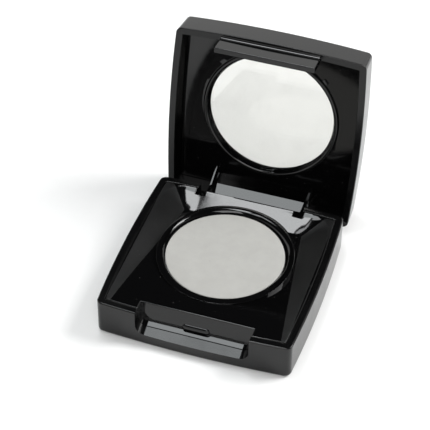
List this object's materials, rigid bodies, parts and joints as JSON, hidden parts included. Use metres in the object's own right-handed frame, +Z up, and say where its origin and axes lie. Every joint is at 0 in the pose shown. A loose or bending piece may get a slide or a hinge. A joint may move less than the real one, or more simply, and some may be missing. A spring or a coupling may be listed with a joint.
{
  "type": "powder compact",
  "caption": "Small square cosmetic compact with a hinged lid, a clear round window and one pressed powder pan.",
  "frame": {"origin": "centre of the base's underside, on the face that it stands on", "axes": "+Z up out of the base, -Y towards the latch at the front, hinge along X at the rear; the lid is drawn open"},
  "size_m": [0.0448, 0.0609, 0.0444],
  "materials": {
    "satin_black": "moulded black plastic with a soft satin gloss",
    "gloss_black": "polished piano-black plastic",
    "pan_metal": "stamped plain aluminium",
    "powder": "pressed pale grey powder, fully matt",
    "adhesive": "pale dried glue",
    "label": "plain blank paper label",
    "pin_steel": "drawn steel wire",
    "clear_window": "clear polished plastic"
  },
  "bodies": {
    "base": {"base_shell": "satin_black", "base_tray": "gloss_black", "powder_pan": "pan_metal", "pressed_powder": "powder", "pan_adhesive": "adhesive", "base_label": "label", "hinge_pin_left": "pin_steel", "hinge_pin_right": "pin_steel"},
    "lid": {"lid_shell": "satin_black", "lid_frame": "gloss_black", "lid_window": "clear_window"}
  },
  "joints": [
    {"name": "lid_hinge", "type": "hinge", "parent": "base", "child": "lid", "pos_m": [0, 0.02015, 0.0036], "axis": [1, 0, 0], "range_deg": [0, 98.8]}
  ]
}
